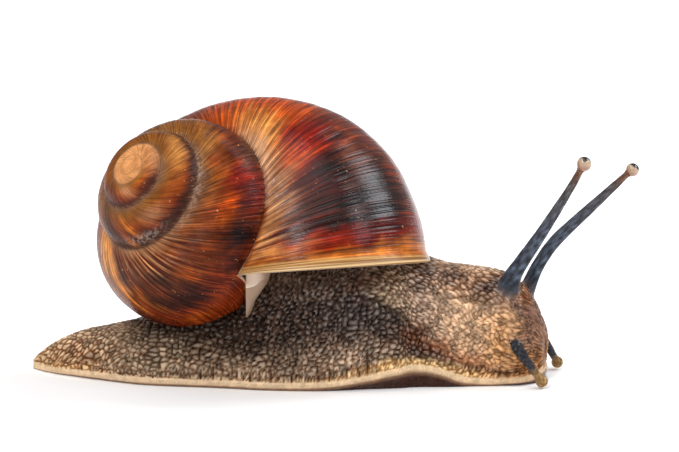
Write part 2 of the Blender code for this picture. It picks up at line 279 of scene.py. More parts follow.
work = bmesh.new()
growth = work.loops.layers.uv.new("growth")
for rows, columns, place in ((round(ROWS * INNER_TURNS), SIDE_COLUMNS, coil_place),
                             (ROWS, BASE_COLUMNS, base_place)):
    grid = bmesh.ops.create_grid(work, x_segments=rows, y_segments=columns, size=0.5)["verts"]
    told = {}
    for v in grid:
        row, column = round((v.co.x + 0.5) * rows), round((v.co.y + 0.5) * columns)
        t = -row * REPEAT / ROWS
        v.co, side = place(t, column)
        told[v] = (t, side)
    lined({face for v in grid for face in v.link_faces}, told.get)
bmesh.ops.remove_doubles(work, verts=work.verts, dist=MERGE)

# The two holes, the nucleus and the mouth, are closed by rings drawn in from their rims.
open_edges = [e for e in work.edges if e.is_boundary]
rims = [[e for e in open_edges if (e.link_loops[0][growth].uv.x < -2 * REPEAT) == nucleus]
        for nucleus in (True, False)]


def drawn_in(rim, steps):
    """Rings drawn in from a rim: each step is a share of the way to the middle and a push."""
    verts = list({v for e in rim for v in e.verts})
    home = {v: v.co.copy() for v in verts}
    middle = sum((v.co for v in verts), Vector()) / len(verts)
    for share, push in steps:
        made = bmesh.ops.extrude_edge_only(work, edges=rim)["geom"]
        fresh = [g for g in made if isinstance(g, bmesh.types.BMVert)]
        rim = [g for g in made if isinstance(g, bmesh.types.BMEdge) and g.is_boundary]
        for v in fresh:
            old = next(e.other_vert(v) for e in v.link_edges if e.other_vert(v) in home)
            home[v] = home[old]
            v.co = home[v].lerp(middle, share) + push
    bmesh.ops.contextual_create(work, geom=rim)


for rim, turn, steps in (
        (rims[0], -INNER_TURNS * REPEAT, ((0.4, -AXIS * NUCLEUS_RISE), (0.75, -AXIS * NUCLEUS_RISE * 1.5))),
        (rims[1], 0.2, ((0.012, LIP_PLANE * 0.12), (0.03, LIP_PLANE * 0.1), (0.05, -LIP_PLANE * 0.2),
                        (0.28, -LIP_PLANE * MOUTH_DEPTH)))):
    before = set(work.faces)
    drawn_in(rim, steps)
    lined(set(work.faces) - before, lambda vert: (turn, 0.5))

# Callus: where the lip meets the whorl before it, it runs on as a cream apron down to the flesh.
CALLUS = (((-13.1, -14.2, 17.9), (-12.0, -14.2, 17.9), (-10.9, -14.1, 17.9), (-9.6, -12.6, 17.7)),
          ((-13.1, -14.7, 16.6), (-11.9, -14.5, 16.6), (-10.7, -14.2, 16.6), (-9.4, -12.6, 16.3)),
          ((-13.1, -15.2, 15.8), (-12.0, -14.7, 15.7), (-10.9, -14.1, 15.6), (-9.8, -12.4, 15.3)),
          ((-13.1, -15.0, 14.8), (-12.3, -14.6, 14.8), (-11.4, -13.9, 14.6), (-10.4, -12.2, 14.3)),
          ((-13.1, -14.6, 13.8), (-12.5, -14.3, 13.8), (-11.9, -13.7, 13.7), (-11.1, -12.2, 13.4)),
          ((-13.1, -14.2, 12.8), (-12.7, -14.0, 12.8), (-12.3, -13.6, 12.7), (-11.6, -12.2, 12.4)),
          ((-13.1, -13.8, 11.8), (-12.9, -13.7, 11.8), (-12.6, -13.3, 11.7), (-12.1, -12.0, 11.4)),
          ((-13.1, -13.3, 11.0), (-13.0, -13.2, 11.0), (-12.9, -12.9, 10.9), (-12.5, -11.6, 10.6)))
CALLUS_THICK = 0.5


def curved(points, i, f):
    """The place a share f of the way from points[i] to the next, on a smooth curve through points."""
    p0, p1, p2, p3 = (points[min(max(i + k, 0), len(points) - 1)] for k in (-1, 0, 1, 2))
    return 0.5 * (2 * p1 + (p2 - p0) * f + (2 * p0 - 5 * p1 + 4 * p2 - p3) * f**2
                  + (3 * p1 - p0 - 3 * p2 + p3) * f**3)


def through(points, f):
    """The place at f, from 0 to 1, on the whole of that curve."""
    f *= len(points) - 1
    i = min(int(f), len(points) - 2)
    return curved(points, i, f - i)


def faced(work):
    """Faces of many corners are cut up, and all look outward."""
    bmesh.ops.triangulate(work, faces=[f for f in work.faces if len(f.verts) > 4])
    bmesh.ops.recalc_face_normals(work, faces=work.faces)


def in_metres(work):
    """The work moved to the middle of the frame, in metres, and smooth."""
    bmesh.ops.translate(work, verts=work.verts, vec=TO_MIDDLE)
    bmesh.ops.scale(work, verts=work.verts, vec=(MM, MM, MM))
    for face in work.faces:
        face.smooth = True


rows = [[Vector(p) for p in row] for row in CALLUS]
across_apron = {}
apron = bmesh.ops.create_grid(work, x_segments=16, y_segments=32, size=0.5)["verts"]
for v in apron:
    f, g = v.co.x + 0.5, v.co.y + 0.5
    v.co = through([through(row, f) for row in rows], g)
    across_apron[v] = f
sheet_faces = list({face for v in apron for face in v.link_faces})
thick = bmesh.ops.solidify(work, geom=sheet_faces, thickness=CALLUS_THICK)["geom"]
lined({g for g in thick if isinstance(g, bmesh.types.BMFace)} | set(sheet_faces),
      lambda vert: (0.2, across_apron.get(vert, 1.0)))
faced(work)
in_metres(work)

# Pigment laid down as the shell grew, brushed on in order, each patch over those before, with painted light
# and shade among it.
# A patch is a pigment, a turn, a place across the whorl, how far it reaches in both, and its strength.
CREAM, TAN, GOLD = (0.74, 0.5, 0.32), (0.46, 0.25, 0.13), (0.78, 0.39, 0.1)
HONEY, AMBER, ORANGE = (0.74, 0.25, 0.03), (0.36, 0.085, 0.008), (0.6, 0.095, 0.006)
RUST, RED, OXBLOOD = (0.19, 0.028, 0.005), (0.27, 0.01, 0.002), (0.075, 0.005, 0.003)
# The mauve is a painted sheen, reflected light laid into the colour; the pale chalk haze by the sutures is
# partly the worn horn's colour and partly a painted highlight.
UMBER, PLUM, SHEEN_MAUVE = (0.06, 0.018, 0.01), (0.006, 0.002, 0.003), (0.13, 0.06, 0.042)
CHALK_AND_HIGHLIGHT, OLIVE = (0.32, 0.18, 0.1), (0.34, 0.14, 0.022)
BRASS, BRONZE = (1.0, 0.45, 0.07), (0.34, 0.115, 0.02)
PATCHES = (
    (RUST, -4.0, 1.0, 2.2, 1.5, 0.7), (UMBER, -3.2, 0.9, 0.7, 0.7, 0.7), (ORANGE, -1.9, 0.5, 0.45, 0.55, 0.8),
    (RUST, -1.62, 0.62, 0.12, 0.22, 0.7), (SHEEN_MAUVE, -2.35, 0.35, 0.3, 0.2, 0.6),
    (ORANGE, -1.4, 0.4, 0.22, 0.3, 0.9), (GOLD, -1.45, 0.14, 0.35, 0.16, 0.85),
    (RUST, -1.25, 0.8, 0.35, 0.3, 0.8), (ORANGE, -1.17, 0.5, 0.16, 0.2, 0.6),
    (RED, -1.04, 0.4, 0.17, 0.2, 1.0), (ORANGE, -1.00, 0.22, 0.18, 0.07, 0.8),
    (ORANGE, -0.88, 0.26, 0.05, 0.09, 0.8), (OXBLOOD, -1.05, 0.56, 0.11, 0.12, 0.9),
    (OXBLOOD, -0.95, 0.78, 0.22, 0.14, 0.6), (RED, -0.84, 0.4, 0.1, 0.2, 0.8),
    (PLUM, -0.86, 0.5, 0.13, 0.1, 0.7), (PLUM, -0.67, 0.42, 0.18, 0.26, 1.0),
    (PLUM, -0.42, 0.5, 0.18, 0.36, 1.0), (OXBLOOD, -0.55, 0.42, 0.08, 0.08, 0.7),
    (OXBLOOD, -0.36, 0.3, 0.05, 0.14, 0.7), (PLUM, -0.56, 0.76, 0.26, 0.16, 0.85),
    (UMBER, -0.68, 0.64, 0.1, 0.08, 0.6), (UMBER, -0.35, 0.92, 0.12, 0.14, 0.6),
    (RUST, -0.6, 1.1, 0.5, 0.12, 0.6), (PLUM, -0.3, 0.45, 0.05, 0.3, 0.9),
    (TAN, -0.7, 0.02, 0.42, 0.14, 0.9), (CREAM, -1.35, 0.03, 0.35, 0.08, 0.85),
    (GOLD, -0.4, 0.02, 0.25, 0.08, 0.5), (RED, -0.225, 0.5, 0.055, 0.9, 0.95),
    (RED, -0.165, 0.45, 0.04, 0.9, 0.8), (BRONZE, -0.105, 0.5, 0.035, 1.6, 0.9),
    (PLUM, -0.32, 0.84, 0.14, 0.22, 1.0), (OXBLOOD, -0.2, 0.8, 0.06, 0.3, 0.8),
    (HONEY, -0.06, 0.5, 0.035, 1.6, 0.7), (GOLD, -0.19, 0.0, 0.05, 0.3, 0.8),
    (TAN, -4.22, 0.6, 0.13, 0.3, 0.8), (GOLD, -4.4, 0.1, 0.24, 0.26, 1.0),
    (BRASS, -4.56, 0.34, 0.13, 0.34, 1.0), (BRASS, -4.36, 0.12, 0.06, 0.2, 0.9),
    (PLUM, -4.78, 0.3, 0.07, 0.26, 0.85), (PLUM, -4.44, 0.48, 0.05, 0.22, 0.7),
    (HONEY, -4.86, 0.58, 0.06, 0.22, 0.8), (AMBER, -4.5, 0.62, 0.12, 0.2, 0.8),
    (UMBER, -4.42, 0.95, 0.2, 0.18, 0.7), (UMBER, -5.3, 0.45, 0.62, 0.42, 0.8),
    (PLUM, -5.2, 0.78, 0.3, 0.18, 0.85), (PLUM, -4.92, 0.66, 0.13, 0.16, 0.7),
    (PLUM, -5.25, 0.4, 0.12, 0.12, 0.7), (AMBER, -5.5, 0.55, 0.09, 0.16, 0.7),
    (RUST, -5.55, 0.84, 0.12, 0.14, 0.8), (RUST, -5.05, 1.12, 0.55, 0.12, 0.9),
    (AMBER, -4.95, 1.06, 0.2, 0.07, 0.6), (PLUM, -6.02, 0.72, 0.17, 0.27, 1.0),
    (PLUM, -5.72, 0.92, 0.13, 0.14, 0.8), (UMBER, -6.00, 0.32, 0.14, 0.14, 0.7),
    (RUST, -6.35, 0.28, 0.13, 0.14, 0.6), (ORANGE, -6.42, 0.5, 0.13, 0.1, 0.9),
    (OXBLOOD, -6.46, 0.74, 0.2, 0.16, 0.95), (RED, -6.72, 0.62, 0.2, 0.16, 0.85),
    (GOLD, -7.35, 0.3, 0.35, 0.18, 0.75), (AMBER, -7.05, 0.34, 0.24, 0.14, 0.9),
    (ORANGE, -7.1, 0.24, 0.16, 0.07, 0.5), (RUST, -7.15, 0.52, 0.28, 0.14, 0.8),
    (SHEEN_MAUVE, -7.00, 0.76, 0.22, 0.14, 0.85), (RED, -6.55, 0.9, 0.3, 0.14, 0.6),
    (RUST, -7.6, 0.75, 0.4, 0.25, 0.8), (OLIVE, -8.2, 0.4, 0.7, 0.4, 0.8),
    (CHALK_AND_HIGHLIGHT, -6.3, 0.03, 1.1, 0.09, 0.85), (SHEEN_MAUVE, -6.8, 0.1, 0.35, 0.08, 0.6),
    (TAN, -5.3, 0.02, 0.5, 0.08, 0.8), (OLIVE, -9.6, 0.45, 0.6, 0.4, 0.8),
    (OLIVE, -10.35, 0.5, 0.3, 0.5, 0.8), (UMBER, -10.8, 0.5, 0.2, 0.45, 0.85),
    (HONEY, -11.3, 0.45, 0.07, 0.3, 0.8), (HONEY, -11.05, 0.8, 0.06, 0.2, 0.7),
    (UMBER, -11.5, 0.75, 0.12, 0.2, 0.9), (TAN, -11.9, 0.4, 0.25, 0.25, 0.7),
    (UMBER, -12.0, 0.82, 0.3, 0.14, 0.9), (AMBER, -12.5, 0.55, 0.2, 0.25, 0.6),
    (AMBER, -13.00, 0.55, 0.3, 0.22, 0.8), (CHALK_AND_HIGHLIGHT, -13.05, 0.1, 0.5, 0.1, 0.8),
    # The long umber band along the lower suture of the early whorls is painted shade where each whorl turns
    # under the next.
    (OLIVE, -14.2, 0.5, 0.9, 0.4, 0.8), (UMBER, -12.3, 0.95, 2.2, 0.12, 0.5),
    (SHEEN_MAUVE, -16.9, 0.4, 0.45, 0.4, 0.7), (TAN, -17.8, 0.35, 0.3, 0.35, 0.7),
    (UMBER, -18.4, 0.72, 0.4, 0.25, 0.8), (TAN, -19.4, 0.6, 0.5, 0.3, 0.6),
    (GOLD, -13.4, 0.5, 0.5, 0.28, 0.65), (AMBER, -7.34, 0.42, 0.2, 0.15, 0.6),
    (RED, -6.69, 0.48, 0.17, 0.16, 0.8), (RED, -1.13, 0.29, 0.12, 0.12, 0.8),
    (OXBLOOD, -0.68, 0.25, 0.13, 0.11, 0.85), (OXBLOOD, -0.36, 0.22, 0.1, 0.1, 0.8))


def clipped(values):
    return np.clip(values, 0, 1)


def scatter(i, j, seed):
    wave = np.sin(i * 127.1 + j * 311.7 + seed * 74.7) * 43758.5453
    return wave - np.floor(wave)


def wander(x, y, seed):
    """Smooth noise, from -1 to 1, with one value at every whole x and y."""
    i, j = np.floor(x), np.floor(y)
    f, g = x - i, y - j
    f, g = f * f * (3 - 2 * f), g * g * (3 - 2 * g)
    near = scatter(i, j, seed) * (1 - f) + scatter(i + 1, j, seed) * f
    far = scatter(i, j + 1, seed) * (1 - f) + scatter(i + 1, j + 1, seed) * f
    return 2 * (near * (1 - g) + far * g) - 1


def washed(under, over, share):
    return under + (np.asarray(over) - under) * share[:, None]


def run_of(tones, where):
    spots, colours = zip(*tones)
    return np.stack([np.interp(where, spots, channel) for channel in zip(*colours)], axis=1)


# The callus is a glaze of cream shell laid over the whorl before, where the lip crosses it.
CALLUS_EDGE = -13.2
callus = work.verts.layers.float.new("callus")
lip_place = MM * (LIP_START + TO_MIDDLE)
for vert in work.verts:
    below = (vert.co - lip_place).dot(LIP_PLANE) / MM
    vert[callus] = held(below / 0.5) * held((vert.co.x / MM - CALLUS_EDGE) / 0.5 + 0.5)

pigment_and_painted_light = work.verts.layers.float_color.new("pigment_and_painted_light")
verts = list(work.verts)
t, v = (np.array(column) for column in zip(*(vert.link_loops[0][growth].uv for vert in verts)))
# Growth lines draw every patch out into streaks: its edges wander from line to line.
streak = wander(t * 34, v * 1.4, 1) * 0.6 + wander(t * 74, v * 2.2, 2) * 0.5
v_laid = v + 0.1 * streak * clipped((v + 0.05) / 0.2)
t_laid = t + 0.035 * wander(t * 5, v * 9, 3) + 0.02 * wander(t * 11, v * 22, 4)
last = run_of(((0, AMBER), (0.3, RUST), (0.55, AMBER), (0.8, RUST), (1, RUST), (2, AMBER)), v_laid)
# Across each early whorl the run goes pale by the upper suture and dark by the lower: painted highlight and
# painted shade of the rounded whorl, over its olive, amber and rust pigment.
early_lit_and_shaded = run_of(((0, CHALK_AND_HIGHLIGHT), (0.1, OLIVE), (0.42, AMBER), (0.68, RUST), (0.86, UMBER), (0.97, SHEEN_MAUVE),
                (1, CHALK_AND_HIGHLIGHT)), v_laid)
inner_share = clipped((-5.6 - t) / 1.2)
paint = last + (early_lit_and_shaded - last) * inner_share[:, None]
for colour, at, side, reach, wide, much in PATCHES:
    away = ((t_laid - at) / reach) ** 2 + ((v_laid - side) / wide) ** 2
    paint = washed(paint, colour, much * np.exp(-away ** 1.5))
paint = paint * (1 - 0.3 * inner_share * clipped((17.5 + t) / 2))[:, None]
# By the suture the rolls' crests are painted pale and their valleys dark: partly the horn's own cream and
# brown lines, partly painted light and shade on the rolls.
crest, share = np.array([folds(a, b) for a, b in zip(t, v)]).T
for colour, much in (((0.8, 0.42, 0.17), clipped((-18.6 - t) / 1.6) * 0.85),
                     ((0.68, 0.4, 0.19), clipped(share * 1.3) * clipped(crest * 2.6 - 0.7) * 0.75),
                     ((0.055, 0.014, 0.007), clipped(share * 1.6) * clipped(0.5 - crest * 3) * 0.9)):
    paint = washed(paint, colour, much)
worn = sum(np.exp(-((t - at) / reach) ** 2 - ((v - side) / wide) ** 2) for at, side, reach, wide in (
    (-7.0, 0.04, 0.6, 0.05), (-11.3, 0.8, 0.4, 0.12)))
for vert, colour, w in zip(verts, paint, worn):
    vert[pigment_and_painted_light] = (*colour, min(1, w))
shell = made_of(work, "snail_shell")


# These helpers add nodes to tree, the node tree of the material being made.
def put(socket, value):
    """Links a socket to what feeds it, or sets its number or colour."""
    if isinstance(value, bpy.types.NodeSocket):
        tree.links.new(value, socket)
    else:
        socket.default_value = value


def sum_of(operation, values):
    node = tree.nodes.new("ShaderNodeMath")
    node.operation = operation
    for socket, value in zip(node.inputs, values):
        put(socket, value)
    return node.outputs[0]


def times(*values):
    return sum_of("MULTIPLY", values)


def plus(*values):
    return sum_of("ADD", values)


def about_zero(noise_value, much):
    """Noise that runs from 0 to 1, moved to run about 0 and made smaller or larger."""
    return times(sum_of("SUBTRACT", (noise_value, 0.5)), much)


def blended(share, under, over, way="MIX"):
    node = tree.nodes.new("ShaderNodeMix")
    node.data_type, node.blend_type = "RGBA", way
    for k, value in ((0, share), (6, under), (7, over)):
        put(node.inputs[k], (*value, 1) if isinstance(value, tuple) else value)
    return node.outputs[2]


def multiplied(under, over):
    return blended(1.0, under, over, "MULTIPLY")


def added(under, over):
    return blended(1.0, under, over, "ADD")


def stepped(value, low, high, bottom=0.0, top=1.0):
    """value eased from bottom to top as it goes from low to high."""
    node = tree.nodes.new("ShaderNodeMapRange")
    node.interpolation_type = "SMOOTHSTEP"
    for k, number in enumerate((value, low, high, bottom, top)):
        put(node.inputs[k], number)
    return node.outputs[0]


def grain(place, stretch, detail=2.0, rough=0.5, shift=(0, 0, 0)):
    """Noise on a coordinate that is stretched first, by one number or by three."""
    turned = tree.nodes.new("ShaderNodeMapping")
    put(turned.inputs["Vector"], place)
    turned.inputs["Scale"].default_value = stretch if isinstance(stretch, tuple) else (stretch,) * 3
    turned.inputs["Location"].default_value = shift
    node = tree.nodes.new("ShaderNodeTexNoise")
    put(node.inputs["Vector"], turned.outputs[0])
    node.inputs["Scale"].default_value = 1.0
    node.inputs["Detail"].default_value = detail
    node.inputs["Roughness"].default_value = rough
    return node.outputs["Fac"]


def raised(height, strength, distance):
    node = tree.nodes.new("ShaderNodeBump")
    node.inputs["Strength"].default_value = strength
    node.inputs["Distance"].default_value = distance
    put(node.inputs["Height"], height)
    return node.outputs[0]


def halves_of(name):
    """A UV map, and its two coordinates apart."""
    node = tree.nodes.new("ShaderNodeUVMap")
    node.uv_map = name
    split = tree.nodes.new("ShaderNodeSeparateXYZ")
    put(split.inputs[0], node.outputs[0])
    return node.outputs[0], split.outputs[0], split.outputs[1]


def attribute(name):
    node = tree.nodes.new("ShaderNodeAttribute")
    node.attribute_name = name
    return node.outputs


def on_object():
    return tree.nodes.new("ShaderNodeTexCoord").outputs["Object"]


shell_finish, tree, shader = finish_of("shell_horn", IOR=1.5, Specular_IOR_Level=0.07, Coat_Roughness=0.22,
                                       Coat_IOR=1.5)
on_growth, turn_of, side_of = halves_of("growth")
place = on_object()
laid = attribute("pigment_and_painted_light")
ground, worn_share = laid["Color"], laid["Alpha"]

fine = grain(on_growth, (86, 0.8, 1), 1.5, 0.55)
middling = grain(on_growth, (30, 1.0, 1), 2, 0.5, (3, 5, 0))
# On the early whorls the fine lines are worn away.
fine = plus(0.5, about_zero(fine, stepped(turn_of, -16.0, -9.0, 0.25, 1.0)))
blotch = grain(place, 420, 3, 0.65)
speck = grain(place, 1900, 2, 0.6)

# Streaks along the growth lines, darker and lighter than the pigment under them.
for noise_value, low, high, dark, light in (
        (middling, 0.32, 0.68, (0.64, 0.52, 0.46), (1.28, 1.14, 1.02)),
        (blotch, 0.3, 0.7, (0.78, 0.72, 0.7), (1.18, 1.2, 1.22))):
    ground = multiplied(ground, blended(stepped(noise_value, low, high), dark, light))
ground = blended(times(stepped(fine, 0.45, 0.34), 0.62), ground, multiplied(ground, (0.3, 0.2, 0.18)))
pale_line = times(stepped(fine, 0.56, 0.7), stepped(blotch, 0.35, 0.65, 0.15, 0.8))
ground = blended(pale_line, ground, added(multiplied(ground, (1.9, 1.6, 1.4)), (0.03, 0.006, 0.002)))

# Short dashes, near black and bright orange, broken out of the streaks of the last two whorls.
dash = grain(on_growth, (58, 2.6, 1), 3, 0.6, (9, 2, 0))
open_run = stepped(turn_of, -9.0, -6.5)
ground = blended(times(stepped(dash, 0.47, 0.4), times(open_run, 0.6)), ground,
                 multiplied(ground, (0.16, 0.08, 0.1)))
ground = blended(times(stepped(dash, 0.57, 0.66), times(open_run, 0.5)), ground,
                 added(multiplied(ground, (2.3, 1.9, 1.5)), (0.05, 0.008, 0.001)))

# The sutures are darkened in the bottom of the groove and where a whorl turns under the next: painted shade.
groove = times(stepped(side_of, 0.02, 0.0), stepped(turn_of, -2.5, -5.5, 0.0, 0.55))
under = times(stepped(side_of, 0.955, 1.0), stepped(turn_of, -5.2, -6.2))
ground = blended(sum_of("MAXIMUM", (groove, times(under, 0.6))), ground, (0.03, 0.012, 0.01))

# Worn horn beside the sutures is chalky, with dark pits; fine orange flecks lie elsewhere.
for share, colour in (
        (times(times(worn_share, stepped(speck, 0.42, 0.6)), 0.42), (0.56, 0.44, 0.36)),
        (times(times(worn_share, stepped(speck, 0.42, 0.34)), 0.6), (0.05, 0.025, 0.02)),
        (times(times(stepped(speck, 0.66, 0.72), stepped(blotch, 0.48, 0.66)), 0.8), (0.7, 0.34, 0.14))):
    ground = blended(share, ground, colour)

# Lip and callus: plain cream, with the growth lines still faintly on it.
on_line = stepped(fine, 0.4, 0.62)
cream = blended(on_line, (0.3, 0.14, 0.045), (0.74, 0.5, 0.25))
golden = blended(on_line, (0.2, 0.075, 0.018), (0.66, 0.37, 0.12))
cream = blended(stepped(turn_of, -0.045, -0.02), golden, cream)
cream = blended(stepped(turn_of, 0.19, 0.2), cream, (0.8, 0.64, 0.52))
# Inside the mouth and toward the apron's edge under the lip the cream is darkened: painted shade.
recess_painted_shade = times(stepped(turn_of, 0.1, 0.15), stepped(side_of, 0.2, 0.95))
cream = blended(recess_painted_shade, cream, (0.4, 0.27, 0.19))
# A dark line between the lip's two ridges: painted shade.
lip_groove = times(stepped(turn_of, -0.032, -0.024), stepped(turn_of, -0.014, -0.022))
cream = blended(times(lip_groove, 0.8), cream, (0.22, 0.1, 0.035))
# The lip's inner edge is ragged, and the lip is broad by the suture.
ragged = plus(about_zero(blotch, 0.02), stepped(side_of, 0.0, 1.1, 0.045, 0.0))
lip_share = stepped(plus(turn_of, ragged), -0.056, -0.03)
lip_share = sum_of("MAXIMUM", (lip_share, stepped(attribute("callus")["Fac"], 0.3, 0.7)))
put(shader.inputs["Base Color"], blended(lip_share, ground, cream))
# The newest horn is the glossiest.
put(shader.inputs["Coat Weight"], times(stepped(turn_of, -1.5, -0.9, 0.06, 0.48),
                                        stepped(turn_of, -0.12, -0.26, 0.35, 1.0)))
put(shader.inputs["Roughness"], plus(stepped(blotch, 0.3, 0.7, 0.12, 0.24), times(worn_share, 0.16)))
lines = plus(times(fine, 0.6), times(middling, 0.7))
lines = plus(lines, times(speck, plus(0.16, times(worn_share, 0.3))))
for socket, depth in (("Normal", 0.0004), ("Coat Normal", 0.0003)):
    put(shader.inputs[socket], raised(lines, 0.6, depth))
shell.data.materials.append(shell_finish)
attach(shell, "root")
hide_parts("shell")

# ---------------------------------------------------------------------------------------------
# Skin: one unbroken hide over foot, trunk, neck, head and all four feelers. It is a lofted body
# with pebbled relief, grooves down the edge of the foot, and feelers grown out of the head.
BODY = (   # x, middle y, top, half width, height of widest, skirt, sole, skirt lift
    (-44.1, -2.6, 1.15, 0.45, 0.55, 0.60, 0.30, 0.30),
    (-43.8, -2.6, 1.60, 0.95, 0.75, 1.15, 0.60, 0.22),
    (-43.3, -2.6, 2.15, 1.40, 0.95, 1.75, 1.10, 0.18),
    (-42.2, -2.6, 3.00, 2.20, 1.20, 2.90, 2.20, 0.20),
    (-41.0, -2.5, 3.75, 2.90, 1.45, 4.00, 3.30, 0.28),
    (-38.7, -2.4, 4.80, 4.00, 1.80, 5.30, 4.60, 0.40),
    (-35.8, -2.3, 5.70, 5.30, 2.20, 7.00, 6.30, 0.50),
    (-33.0, -2.2, 6.15, 6.20, 2.60, 8.30, 7.70, 0.50),
    (-28.0, -2.2, 7.20, 7.90, 3.20, 10.3, 9.70, 0.55),
    (-22.0, -2.2, 11.0, 9.40, 5.00, 11.3, 10.7, 0.60),
    (-16.0, -2.2, 16.0, 10.8, 8.00, 12.2, 11.6, 0.62),
    (-11.0, -2.2, 19.5, 12.3, 12.0, 13.1, 12.6, 0.60),
    (-5.0, -2.2, 22.0, 14.6, 14.5, 13.6, 13.1, 0.70),
    (0.0, -2.3, 22.0, 14.9, 15.0, 13.6, 12.8, 0.95),
    (4.5, -2.5, 21.6, 13.4, 14.0, 13.1, 11.8, 1.60),
    (8.5, -2.7, 19.8, 10.9, 12.0, 12.4, 11.2, 2.40),
    (12.0, -3.0, 17.2, 8.70, 10.0, 11.6, 10.5, 2.90),
    (15.5, -3.8, 16.1, 7.20, 8.80, 10.6, 9.60, 2.80),
    (18.5, -4.7, 15.9, 6.50, 8.20, 9.60, 8.80, 2.10),
    (21.0, -5.6, 15.9, 6.20, 8.00, 8.40, 7.80, 1.00),
    (23.2, -6.5, 15.7, 6.00, 7.80, 7.10, 6.60, 0.60),
    (25.4, -7.4, 14.8, 5.80, 7.00, 6.00, 5.40, 0.45),
    (27.2, -8.2, 13.0, 5.30, 6.20, 5.10, 4.00, 0.45),
    (28.6, -8.8, 10.6, 4.40, 5.60, 4.10, 2.80, 0.60),
    (29.6, -9.2, 8.60, 3.00, 5.20, 2.70, 1.40, 0.90),
    (30.1, -9.4, 7.00, 1.50, 5.00, 1.40, 0.60, 1.80),
)
SKIRT_THICK = 0.75
RINGS = 380
SOLE_POINTS, WALL_POINTS, FLANK_POINTS = 4, 10, 103     # on half a ring: under, up to the skirt, above it


def between(table, x):
    """The table's row at x, by smooth curves through its rows."""
    rows = [table[0]] + list(table) + [table[-1]]
    for i in range(1, len(rows) - 2):
        if x <= rows[i + 1][0] or i == len(rows) - 3:
            before, a, b, after = rows[i - 1:i + 3]
            break
    f, wide = (x - a[0]) / (b[0] - a[0]), b[0] - a[0]
    out = []
    for k in range(1, len(a)):
        slope_a = (b[k] - before[k]) / max(b[0] - before[0], 0.001) * wide
        slope_b = (after[k] - a[k]) / max(after[0] - a[0], 0.001) * wide
        out.append((2 * f**3 - 3 * f**2 + 1) * a[k] + (f**3 - 2 * f**2 + f) * slope_a
                   + (3 * f**2 - 2 * f**3) * b[k] + (f**3 - f**2) * slope_b)
    return out


def half_ring(x):
    """Half a cross section at x, from under the middle, round the skirt and up to the back."""
    _, top, wide, widest, skirt, sole, lift = between(BODY, x)
    thick = min(SKIRT_THICK, 0.35 * top)
    groove = min(skirt - 0.5 * thick, 0.5 * (skirt + wide))
    low = lift + 1.7 * thick
    half = [(0.0, 0.0), (0.5 * sole, 0.0), (sole, 0.0), (0.4 * sole + 0.6 * skirt, 0.5 * lift + 0.1),
            (skirt - 0.1 * thick, lift + 0.15 * thick), (skirt, lift + 0.55 * thick),
            (skirt - 0.12 * thick, lift + thick), (groove, low)]
    for degrees in (-40, -15, 8, 28, 46, 62, 77):
        turn = radians(degrees)
        high = top if degrees >= 0 else 2 * widest - low
        z = max(widest + (high - widest) * sin(turn), low + 0.05 * (degrees + 41) / 40)
        half.append((wide * cos(turn) if degrees >= 0 else
                     wide + (groove - wide) * (-sin(turn)) ** 1.6, z))
    half.append((0.0, top))
    return [Vector(p) for p in half]


def evenly(points, count):
    """A smooth curve through points, as count + 1 points evenly along it, and its length there."""
    fine = [curved(points, i, step / 6) for i in range(len(points) - 1) for step in range(6)] + [points[-1]]
    run = [0.0]
    for a, b in zip(fine, fine[1:]):
        run.append(run[-1] + (b - a).length)
    out, k = [], 0
    for i in range(count + 1):
        want = run[-1] * i / count
        while k < len(run) - 2 and run[k + 1] < want:
            k += 1
        f = (want - run[k]) / max(run[k + 1] - run[k], 1e-9)
        out.append((fine[k].lerp(fine[k + 1], f), want))
    return out


def body_ring(x):
    """A ring's points with how far each lies above the skirt's edge, measured on the skin."""
    y = between(BODY, x)[0]
    ahead = between(BODY, min(x + 0.5, BODY[-1][0]))[0]
    behind = between(BODY, max(x - 0.5, BODY[0][0]))[0]
    bend = atan2(behind - ahead, 1.0)
    points = half_ring(x)
    sole, wall = evenly(points[:3], SOLE_POINTS), evenly(points[2:5], WALL_POINTS)
    edge = sole[-1][1] + wall[-1][1]
    half = sole[:-1] + [(p, far + sole[-1][1]) for p, far in wall[:-1]]
    half += [(p, far + edge) for p, far in evenly(points[4:], FLANK_POINTS)]
    rise = (points[5] - points[4]).length      # across the skirt's flat upper side
    near, far = ([(x - way * p.x * sin(bend), y - way * p.x * cos(bend), p.y, up - edge - rise)
                  for p, up in half] for way in (1, -1))
    return near + far[-2:0:-1], [1] * len(near) + [-1] * (len(far) - 2), rise


def blank_hide():
    """A mesh to work on with the hide's layers: a map in mm along the body and up from the skirt,
    a map of each pebble's height and its own tone, and the tint."""
    work = bmesh.new()
    maps = [work.loops.layers.uv.new(name) for name in ("hide", "relief")]
    return work, maps, work.verts.layers.float_color.new("tint")


def mapped(work, maps, told):
    """Each vertex's four numbers in told are written to the two maps."""
    for face in work.faces:
        for loop in face.loops:
            loop[maps[0]].uv, loop[maps[1]].uv = told[loop.vert][:2], told[loop.vert][2:]


ROUND = 2 * (SOLE_POINTS + WALL_POINTS + FLANK_POINTS)
work, maps, tints = blank_hide()
ends = BODY[-1][0] - BODY[0][0]
stations = [BODY[0][0] + ends * (0.5 - 0.5 * cos(pi * i / RINGS)) * 0.35 + ends * 0.65 * i / RINGS
            for i in range(RINGS + 1)]
grid = bmesh.ops.create_grid(work, x_segments=RINGS, y_segments=ROUND, size=0.5)["verts"]
rings = [body_ring(x) for x in stations]
lies = {}
for v in grid:
    i, j = round((v.co.x + 0.5) * RINGS), round((v.co.y + 0.5) * ROUND) % ROUND
    x, y, z, up = rings[i][0][j]
    v.co = (x, y, z)
    lies[v] = (stations[i], up, rings[i][1][j], up + rings[i][2])


